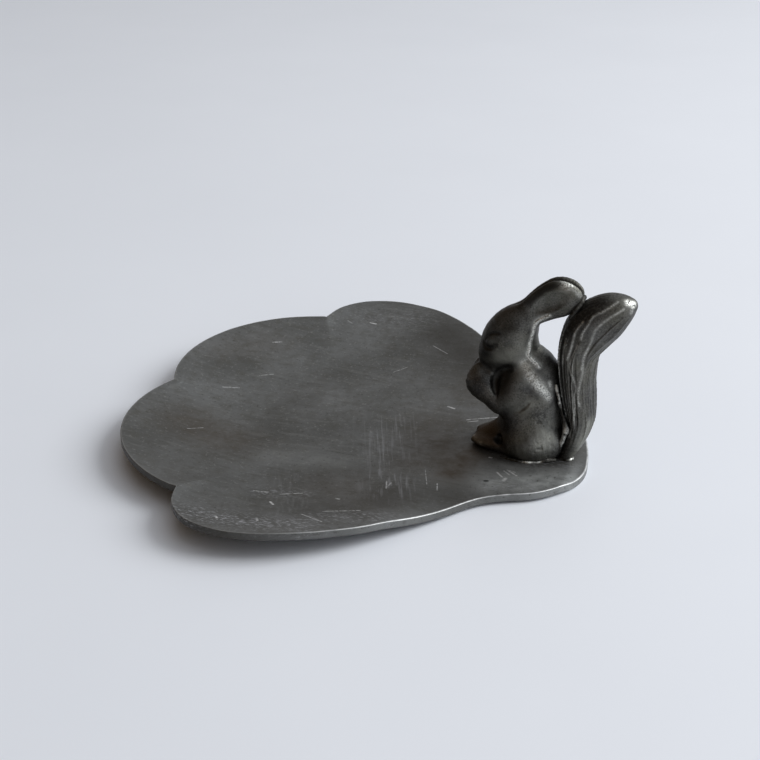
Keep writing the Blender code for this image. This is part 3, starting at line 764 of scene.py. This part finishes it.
def build_tail(material):
    """The tail casting with its carved fur."""
    clay = Clay(*TAIL_BLOCK, STEP)
    body, along, angle = clay.limb(TAIL, steps=6)
    carved = np.abs(body) < CARVED_BAND
    back = smooth_step(0.55, 1.0, np.sin(-angle[carved]))
    crown = smooth_step(-0.3, 0.5, np.sin(angle[carved]))
    share = along[carved] / along.max()
    faded = smooth_step(*FUR_START, share) * (1.0 - smooth_step(*FUR_END, share)) * (1.0 - 0.4 * back)
    faded *= 1.0 - 0.75 * crown * smooth_step(*BARE_CROWN, share)
    body[carved] -= STRAND_DEPTH * faded * (strand_relief(along[carved], angle[carved]) - 0.5)
    clay.field = body.astype(np.float32)
    ridges = [through_points(clay.flank_stroke(line), 3) for line in CRESTS]
    for line in CRESTS:
        clay.field = melt(clay.field, clay.groove(line, CREST_RADIUS, CREST_SUNK), 0.12)
    clay.stand(melt(clay.field, clay.ellipsoid(*TAIL_NUB), 0.15), CASTING_SINK)
    points, quads, out, shade_and_grime, crest = surface_of(clay, 0.5, 0.3)
    tip = strongest(points, TAIL_TIP_RUB)
    rubbed = np.maximum(tip, 0.35 * smooth_step(0.15, 0.6, crest))
    for ridge in ridges:
        rubbed = np.maximum(rubbed, 0.5 * near_stroke(points, ridge, CREST_RUB))
    pits = 0.16 * smooth_step(0.1, 0.6, noise(points, 0.5, 24)) * tip
    points = points + out * (0.04 * noise(points, 1.8, 23) - pits)[:, None]
    # Painted shade: in the fur's creases, under the shade strokes and on the side that faces away from the
    # window (-X)
    darkening = 1.5 * shade_and_grime + strongest(points, TAIL_SHADE_AND_DIRT) + 0.45 * smooth_step(0.3, -0.7, out[:, 0])
    marks = {
        "wear": rubbed,
        "shade_and_grime": np.clip(darkening + 6.0 * pits, 0.0, 1.0),
        "brown": np.zeros(len(points)),
        "pale": strongest(points, TAIL_PALE),
        "pitted": np.full(len(points), 0.3),
    }
    return make_piece("tail_cast", points, quads, material, ["tail"], marks)


# ---- solder

# Solder runs as (x, y, z, radius)
SEAT_RUN = ((24.0, -4.0, 1.5, 0.12), (26.7, -5.2, 1.5, 0.18), (28.6, -5.5, 1.5, 0.28),
            (30.2, -5.3, 1.5, 0.36), (31.8, -4.4, 1.55, 0.5), (33.4, -3.5, 1.55, 0.42))
BACK_RUN = ((33.6, -3.1, 2.6, 0.2), (34.2, -3.2, 4.4, 0.3), (34.8, -3.2, 6.3, 0.42),
            (34.5, -3.0, 7.6, 0.32), (33.9, -2.7, 9.4, 0.16), (33.3, -2.4, 11.2, 0.2),
            (32.7, -1.8, 12.8, 0.22))
TAIL_FOOT_RUN = ((34.2, -3.1, 1.5, 0.15), (35.2, -3.0, 1.5, 0.25), (35.8, -2.2, 1.5, 0.28),
                 (35.8, -0.8, 1.5, 0.2), (35.0, 0.2, 1.5, 0.15))
EAR_RUN = ((34.2, -1.8, 23.4, 0.3), (34.9, -1.5, 24.6, 0.45), (35.5, -0.6, 25.7, 0.4),
           (35.5, 0.6, 25.7, 0.4), (34.9, 1.5, 24.6, 0.45), (34.2, 1.8, 23.4, 0.3))
# Room left round a run for its thickness
BEAD_MARGIN = 1.4
# Where the solder is bright: (stroke, width, strength)
BRIGHT_SOLDER = (
    (((29.5, -5.6, 1.5), (30.3, -5.5, 1.5)), 0.5, 1.0),
    (((30.8, -5.1, 1.5), (31.6, -4.8, 1.5)), 0.4, 0.8),
    (((35.8, -2.8, 1.7), (36.1, -2.2, 1.7)), 0.35, 1.0),
    (((34.8, -3.5, 6.6), (34.4, -3.5, 4.6)), 0.6, 0.8),
    (((33.6, -2.8, 10.6), (33.3, -2.6, 11.4)), 0.5, 0.9),
    (((33.0, -2.4, 12.2), (32.8, -2.0, 12.8)), 0.4, 0.9))


def build_bead(name, stations, stands_for, material, seed):
    """A lumpy run of solder."""
    rows = np.array(stations, float)
    clay = Clay(rows[:, :3].min(axis=0) - BEAD_MARGIN, rows[:, :3].max(axis=0) + BEAD_MARGIN, STEP)
    clay.field = clay.limb(np.column_stack((rows, rows[:, 3])), level=SKEW)[0]
    clay.stand(clay.field, SOLDER_SINK)
    points, quads = clay.skin()
    out = clay.outward(points)
    points = points + out * (0.16 * noise(points, 0.9, seed) + 0.06 * noise(points, 0.4, seed + 1))[:, None]
    points[:, 2] = np.maximum(points[:, 2], PAD_TOP - SOLDER_SINK)
    on_left = points * (1, -1, 1) if name.endswith("right") else points
    marks = {"wear": strongest(on_left, BRIGHT_SOLDER)}
    return make_piece(name, points, quads, material, [stands_for], marks)


def build_solder(material):
    """All the solder: round the seat, down the back, round the tail's foot and at the ears."""
    for flank, side in (("left", 1), ("right", -1)):
        for joint, run, seed in (("seat", SEAT_RUN, 31), ("back", BACK_RUN, 41)):
            mirrored_run = [(x, y * side, z, radius) for x, y, z, radius in run]
            build_bead(joint + "_bead_" + flank, mirrored_run, joint + "_solder_" + flank, material, seed)
    build_bead("tail_foot_bead", TAIL_FOOT_RUN, "tail_foot_solder", material, 51)
    build_bead("ear_bead", EAR_RUN, "ear_solder", material, 61)


# ---- materials

class Graph:
    """The node tree of a material or world, with short ways to add to it."""

    def __init__(self, owner):
        owner.use_nodes = True
        self.owner = owner
        self.tree = owner.node_tree
        self.coordinates = self.add("ShaderNodeTexCoord").outputs
        self.place = self.vector("SCALE", self.coordinates["Object"], scale=1.0 / MM)

    def add(self, kind, **settings):
        """A new node with its settings."""
        node = self.tree.nodes.new(kind)
        for key, value in settings.items():
            setattr(node, key, value)
        return node

    def feed(self, socket, value):
        """Link or set an input."""
        if isinstance(value, bpy.types.NodeSocket):
            self.tree.links.new(value, socket)
        else:
            socket.default_value = value

    def vector(self, operation, a, b=(0.0, 0.0, 0.0), scale=1.0):
        """A sum on one or two vectors; lengths and dot products come out as numbers."""
        node = self.add("ShaderNodeVectorMath", operation=operation)
        self.feed(node.inputs[0], a)
        self.feed(node.inputs[1], b)
        self.feed(node.inputs[3], scale)
        return node.outputs["Value" if operation in ("LENGTH", "DOT_PRODUCT") else "Vector"]

    def number(self, operation, a, b=0.0, clamp=False):
        """A sum on one or two numbers."""
        node = self.add("ShaderNodeMath", operation=operation, use_clamp=clamp)
        self.feed(node.inputs[0], a)
        self.feed(node.inputs[1], b)
        return node.outputs[0]

    def blotches(self, size, detail=4.0, roughness=0.55, stretch=(1.0, 1.0, 1.0), turn=0.0):
        """Noise from 0 to 1 in features about size millimetres across, stretched on axes turned about Z."""
        mapping = self.add("ShaderNodeMapping", vector_type="TEXTURE")
        self.feed(mapping.inputs["Vector"], self.place)
        mapping.inputs["Scale"].default_value = [1.0 / share for share in stretch]
        mapping.inputs["Rotation"].default_value = (0.0, 0.0, math.radians(turn))
        texture = self.add("ShaderNodeTexNoise")
        self.feed(texture.inputs["Vector"], mapping.outputs[0])
        texture.inputs["Scale"].default_value = 1.0 / size
        texture.inputs["Detail"].default_value = detail
        texture.inputs["Roughness"].default_value = roughness
        return texture.outputs["Fac"]

    def remap(self, value, low, high, out_low=0.0, out_high=1.0):
        """A number moved from one range to another and held there."""
        node = self.add("ShaderNodeMapRange", clamp=True)
        for socket, amount in zip(node.inputs, (value, low, high, out_low, out_high)):
            self.feed(socket, amount)
        return node.outputs["Result"]

    def tint(self, share, a, b):
        """Mix of two colours."""
        node = self.add("ShaderNodeMix", data_type="RGBA")
        self.feed(node.inputs["Factor"], share)
        self.feed(node.inputs["A"], a)
        self.feed(node.inputs["B"], b)
        return node.outputs["Result"]

    def layers(self, base, rows):
        """The base tinted in turn where each pattern goes from low to high, up to a share of the tone."""
        for pattern, low, high, share, tone in rows:
            base = self.tint(self.remap(pattern, low, high, 0.0, share), base, tone)
        return base

    def patchy(self, share, pattern, low, high, least=0.0, most=1.0):
        """A share broken up by a pattern, which leaves from least to most of it."""
        return self.number("MULTIPLY", share, self.remap(pattern, low, high, least, most))

    def mark(self, name):
        """A number kept on the mesh's points."""
        return self.add("ShaderNodeAttribute", attribute_name=name).outputs["Fac"]

    def bump(self, height, strength, distance, normal=None):
        """A bump of the given height."""
        node = self.add("ShaderNodeBump")
        node.inputs["Strength"].default_value = strength
        node.inputs["Distance"].default_value = distance
        self.feed(node.inputs["Height"], height)
        if normal is not None:
            self.feed(node.inputs["Normal"], normal)
        return node.outputs["Normal"]

    def surface(self, base, rough, metallic=0.0, normal=None):
        """The material, with its colour, roughness, metal and bumps on the shader."""
        shader = self.tree.nodes["Principled BSDF"]
        self.feed(shader.inputs["Base Color"], base)
        self.feed(shader.inputs["Roughness"], rough)
        shader.inputs["Metallic"].default_value = metallic
        if normal is not None:
            self.feed(shader.inputs["Normal"], normal)
        return self.owner


def material_graph(name):
    """The graph of a new material."""
    return Graph(bpy.data.materials.new(name))


def colour(red, green, blue):
    """An opaque colour."""
    return (red, green, blue, 1.0)


# Tones of the castings
SQUIRREL_DARK = colour(0.055, 0.054, 0.053)
SQUIRREL_LIGHT = colour(0.150, 0.148, 0.137)
TAIL_DARK = colour(0.062, 0.060, 0.057)
TAIL_LIGHT = colour(0.130, 0.127, 0.118)
OLIVE_PATINA = colour(0.150, 0.142, 0.100)
GRAIN_PIT = colour(0.028, 0.028, 0.026)
GRAIN_TOP = colour(0.22, 0.22, 0.20)
BROWN_STAIN = colour(0.078, 0.049, 0.028)
PALE_PATINA_AND_LIGHT = colour(0.27, 0.27, 0.235)
PIT_RIM = colour(0.20, 0.20, 0.18)
CAST_SHADE_AND_DIRT = colour(0.021, 0.020, 0.018)
BARE_CASTING = colour(0.90, 0.90, 0.84)


def casting_pewter(name, dark, light):
    """Old cast pewter: dark patina, bare where it is rubbed, painted shade and dirt in the hollows and fine
    casting grain.
    """
    g = material_graph(name)
    cloud = g.blotches(2.4)
    patches = g.blotches(5.0, detail=3.0)
    grain = g.blotches(0.22, detail=5.0, roughness=0.7)
    base = g.tint(g.remap(cloud, 0.36, 0.64), dark, light)
    base = g.layers(base, (
        (patches, 0.45, 0.75, 0.5, OLIVE_PATINA), (grain, 0.50, 0.64, 0.8, GRAIN_PIT),
        (grain, 0.44, 0.32, 0.5, GRAIN_TOP)))
    base = g.tint(g.mark("brown"), base, BROWN_STAIN)
    # Pale patina, with painted light on the squirrel's cheek and haunch
    base = g.tint(g.patchy(g.mark("pale"), cloud, 0.3, 0.6, 0.4), base, PALE_PATINA_AND_LIGHT)
    # Painted shade in creases and on the side away from the window, with dark patina and dirt
    base = g.tint(g.remap(g.mark("shade_and_grime"), 0.15, 0.8, 0.0, 0.9), base, CAST_SHADE_AND_DIRT)
    pits = g.patchy(g.mark("pitted"), g.blotches(0.34, detail=2.0), 0.52, 0.62, most=0.55)
    base = g.tint(pits, base, PIT_RIM)
    rubbed = g.patchy(g.mark("wear"), grain, 0.42, 0.55, 0.2)
    base = g.tint(rubbed, base, BARE_CASTING)
    rough = g.number("SUBTRACT", g.remap(cloud, 0.3, 0.7, 0.40, 0.52), g.number("MULTIPLY", rubbed, 0.10))
    normal = g.bump(grain, 0.6, 0.00008)
    normal = g.bump(g.blotches(0.6, detail=3.0), 0.3, 0.00012, normal)
    return g.surface(base, rough, 0.85, normal)


# Scratches and nicks on the tray: (start x, start y, end x, end y, half width, brightness)
SCRATCHES = (
    (17.9, 5.4, 22.8, 7.6, 0.16, 0.8), (18.2, 4.8, 19.6, 5.4, 0.16, 0.6),
    (26.3, -9.6, 27.8, -11.2, 0.20, 0.9), (27.8, -11.6, 27.9, -11.0, 0.34, 1.0),
    (27.2, -8.9, 28.2, -9.8, 0.16, 0.7), (27.9, -8.7, 29.2, -9.7, 0.20, 0.9),
    (27.6, -8.5, 28.8, -8.8, 0.16, 0.6), (24.2, -5.6, 24.5, -5.6, 0.22, 1.0),
    (13.9, 9.0, 15.0, 8.6, 0.22, 0.7), (-6.6, 32.6, -5.6, 32.5, 0.22, 0.8),
    (-1.1, -28.6, -0.4, -29.3, 0.22, 1.0), (6.9, -29.4, 11.6, -27.6, 0.14, 0.7),
    (-4.6, -25.9, -2.6, -25.6, 0.18, 0.6), (-0.8, -25.6, 1.9, -24.2, 0.14, 0.6),
    (4.6, -31.3, 8.0, -32.9, 0.14, 0.6), (7.0, -24.6, 7.6, -24.7, 0.20, 0.6),
    (-5.8, -36.4, -5.2, -37.2, 0.22, 0.9), (-0.5, -35.0, 0.0, -35.8, 0.22, 0.8),
    (12.1, -17.2, 12.8, -19.6, 0.15, 0.6), (12.9, -17.6, 12.7, -19.4, 0.15, 0.4),
    (19.1, -15.6, 19.6, -17.4, 0.12, 0.5), (16.3, -12.0, 17.8, -16.4, 0.09, 0.4),
    (-21.6, 3.0, -19.4, 4.2, 0.20, 0.5), (-19.8, 20.2, -18.6, 20.9, 0.24, 0.5),
    (-32.6, -4.2, -31.9, -4.8, 0.18, 0.8), (-18.0, 9.6, -16.2, 11.0, 0.12, 0.5),
    (2.0, 18.4, 3.8, 20.6, 0.12, 0.4), (-21.0, -12.0, -19.2, -10.4, 0.12, 0.5),
    (-10.4, 31.8, -9.6, 31.4, 0.18, 0.4), (6.0, 28.0, 9.0, 26.0, 0.12, 0.4))
# Share of a scratch's half width at which it reaches its full strength
SCRATCH_CORE = 0.3
# A dark pit, and the way the brushed streaks run, in degrees from Y
PIT = (25.3, -12.6, 25.6, -12.5, 0.35, 1.0)
BRUSH_TURN = 19.0
# Tones of the tray
SHEET_DARK = colour(0.096, 0.096, 0.090)
SHEET_LIGHT = colour(0.158, 0.160, 0.156)
WARM_MOTTLE = colour(0.086, 0.081, 0.067)
PALE_RUB_AND_WALL_LIGHT = colour(0.36, 0.37, 0.36)
STREAK_LIGHT = colour(0.20, 0.20, 0.19)
STREAK_DARK = colour(0.070, 0.067, 0.058)
SPECK_LIGHT = colour(0.26, 0.26, 0.25)
SPECK_DARK = colour(0.050, 0.047, 0.040)
SHEET_BROWN_AND_REFLECTION = colour(0.066, 0.050, 0.034)
SHEET_SHADE_AND_DIRT = colour(0.04, 0.036, 0.030)
SCUFF = colour(0.46, 0.46, 0.48)
BARE_SHEET = colour(0.70, 0.70, 0.69)
PIT_BOTTOM = colour(0.02, 0.02, 0.02)


def scratch_mask(g, scratch):
    """1 on a straight scratch and 0 beside it."""
    x, y, end_x, end_y, half_width, strength = scratch
    run = np.array((end_x - x, end_y - y, 0.0))
    flat = g.vector("MULTIPLY", g.place, (1.0, 1.0, 0.0))
    local = g.vector("SUBTRACT", flat, (x + LEAF_ORIGIN[0], y + LEAF_ORIGIN[1], 0.0))
    share = g.number("MULTIPLY", g.vector("DOT_PRODUCT", local, tuple(run)), 1.0 / (run @ run), clamp=True)
    foot = g.vector("SCALE", tuple(run), scale=share)
    distance = g.vector("LENGTH", g.vector("SUBTRACT", local, foot))
    return g.remap(distance, half_width, half_width * SCRATCH_CORE, 0.0, strength)


def tray_pewter():
    """Satin pewter sheet: faint clouds, streaks and stains, scuffs, scratches and a rubbed edge, with
    painted shade and light on the side wall, a painted highlight on the edge and a painted reflection.
    """
    g = material_graph("tray_pewter_look")
    cloud = g.blotches(11.0, detail=5.0)
    fine = g.blotches(1.6, detail=5.0)
    specks = g.blotches(0.45, detail=3.0)
    streaks = g.blotches(0.8, detail=4.0, stretch=(0.12, 1.0, 1.0))
    scuffs = g.blotches(0.22, detail=4.0, stretch=(0.3, 1.0, 1.0))
    brush = g.blotches(0.55, detail=3.0, stretch=(1.0, 0.04, 1.0), turn=BRUSH_TURN)
    base = g.tint(g.remap(cloud, 0.34, 0.66), SHEET_DARK, SHEET_LIGHT)
    base = g.layers(base, ((fine, 0.45, 0.70, 0.45, WARM_MOTTLE),))
    # Pale rubbing on the pad, and painted light on the side wall towards the right
    base = g.tint(g.patchy(g.mark("pale"), fine, 0.34, 0.6, 0.5), base, PALE_RUB_AND_WALL_LIGHT)
    base = g.layers(base, (
        (streaks, 0.56, 0.70, 0.35, STREAK_LIGHT), (streaks, 0.44, 0.30, 0.35, STREAK_DARK),
        (specks, 0.60, 0.68, 0.45, SPECK_LIGHT), (specks, 0.38, 0.30, 0.6, SPECK_DARK)))
    # Brown patches, with the painted reflection of a gold chain on the near left lobe
    base = g.tint(g.patchy(g.mark("brown"), fine, 0.2, 0.6, 0.6), base, SHEET_BROWN_AND_REFLECTION)
    # Painted shade on the side wall towards the left, and the darker patches and the darker ring round the
    # castings
    base = g.tint(g.number("MULTIPLY", g.mark("shade_and_grime"), 0.75), base, SHEET_SHADE_AND_DIRT)
    scuffed = g.patchy(g.mark("scuffed"), scuffs, 0.53, 0.64, most=0.85)
    brushed = g.patchy(g.mark("brushed"), brush, 0.52, 0.68, most=0.38)
    base = g.tint(g.number("MAXIMUM", scuffed, brushed), base, SCUFF)
    # Rubbed edge, brighter towards the lit right as a painted highlight
    rubbed = g.patchy(g.mark("wear"), fine, 0.3, 0.6, 0.3)
    broken = g.remap(specks, 0.3, 0.55)
    for scratch in SCRATCHES:
        rubbed = g.number("MAXIMUM", rubbed, g.number("MULTIPLY", scratch_mask(g, scratch), broken))
    base = g.tint(rubbed, base, BARE_SHEET)
    base = g.tint(scratch_mask(g, PIT), base, PIT_BOTTOM)
    rough = g.number("SUBTRACT", g.remap(fine, 0.3, 0.7, 0.46, 0.56), g.number("MULTIPLY", rubbed, 0.10))
    along = g.blotches(0.25, detail=2.0, stretch=(0.04, 1.0, 1.0))
    across = g.blotches(0.3, detail=2.0, stretch=(1.0, 0.05, 1.0))
    normal = g.bump(along, 0.12, 0.00005)
    normal = g.bump(across, 0.10, 0.00005, normal)
    normal = g.bump(specks, 0.2, 0.00005, normal)
    return g.surface(base, rough, 0.7, normal)


SOLDER_DARK = colour(0.025, 0.023, 0.020)
SOLDER_LIGHT = colour(0.07, 0.068, 0.060)
FILED_SOLDER = colour(0.75, 0.75, 0.70)


def solder_look():
    """Solder: dull grey and lumpy, whitish and bright where it was filed."""
    g = material_graph("solder_look")
    fine = g.blotches(0.5, detail=4.0)
    base = g.tint(g.remap(fine, 0.35, 0.7), SOLDER_DARK, SOLDER_LIGHT)
    base = g.tint(g.patchy(g.mark("wear"), fine, 0.35, 0.55), base, FILED_SOLDER)
    rough = g.remap(fine, 0.3, 0.7, 0.32, 0.6)
    return g.surface(base, rough, 0.85, g.bump(g.blotches(0.2, detail=4.0), 0.5, 0.00008))


# ---- stage

def leaf_point(place):
    """A point of the leaf frame, in metres in the row's frame."""
    return Vector((np.array(place, float) + LEAF_ORIGIN) * MM)


def aim(thing, place, target):
    """Put a camera or light at a place and turn it to a target, both in the leaf frame."""
    thing.location = leaf_point(place)
    thing.rotation_euler = (leaf_point(target) - thing.location).to_track_quat("-Z", "Y").to_euler()


def add_camera():
    """The camera, without roll, above the near side of the dish."""
    data = bpy.data.cameras.new("view")
    data.lens = CAMERA_LENS
    data.sensor_width = SENSOR
    data.clip_start = CLIP_START_M
    camera = put_in_scene("view", data)
    aim(camera, CAMERA_PLACE, CAMERA_TARGET)
    bpy.context.scene.camera = camera


def add_window():
    """A soft square light that looks at the dish, like a window."""
    data = bpy.data.lights.new("window", "AREA")
    data.shape = "SQUARE"
    data.size = WINDOW_SIDE * MM
    data.energy = WINDOW_POWER
    data.color = WINDOW_TINT
    aim(put_in_scene("window", data), WINDOW_PLACE, WINDOW_TARGET)


TABLE_TONES = (colour(0.78, 0.80, 0.84), colour(0.80, 0.82, 0.86))


def add_floor():
    """A plain pale table top."""
    corners = [(x, y, 0.0) for x, y in ((-1, -1), (1, -1), (1, 1), (-1, 1))]
    data = bpy.data.meshes.new("table_top")
    data.from_pydata((TABLE_HALF_M * np.array(corners)).tolist(), [], [(0, 1, 2, 3)])
    g = material_graph("table_paint")
    shade = g.remap(g.blotches(60.0, detail=3.0), 0.3, 0.7)
    data.materials.append(g.surface(g.tint(shade, *TABLE_TONES), 0.6))
    floor = put_in_scene("table_top", data)


# Room light: the way it is brightest, the cosines to that way where it starts and is full, and its tones
BRIGHT_WAY = (0.85, 0.35, 0.4)
DARK_FROM = -0.15
BRIGHT_FROM = 0.9
ROOM_DARK = colour(0.115, 0.078, 0.045)
ROOM_BRIGHT = colour(0.96, 1.02, 1.10)


def add_surroundings():
    """Room light: brighter towards the window side, darker on the other."""
    world = bpy.data.worlds.new("room")
    g = Graph(world)
    cosine = g.vector("DOT_PRODUCT", g.coordinates["Generated"], unit(np.array(BRIGHT_WAY)))
    background = g.tree.nodes["Background"]
    tone = g.tint(g.remap(cosine, DARK_FROM, BRIGHT_FROM), ROOM_DARK, ROOM_BRIGHT)
    g.feed(background.inputs["Color"], tone)
    background.inputs["Strength"].default_value = 1.0
    bpy.context.scene.world = world


def main():
    """Build the dish's looks and its stage."""
    add_camera()
    add_window()
    add_floor()
    add_surroundings()
    bpy.context.scene.view_settings.view_transform = "Standard"
    build_tray(tray_pewter())
    build_squirrel(casting_pewter("squirrel_look", SQUIRREL_DARK, SQUIRREL_LIGHT))
    build_tail(casting_pewter("tail_look", TAIL_DARK, TAIL_LIGHT))
    build_solder(solder_look())


main()
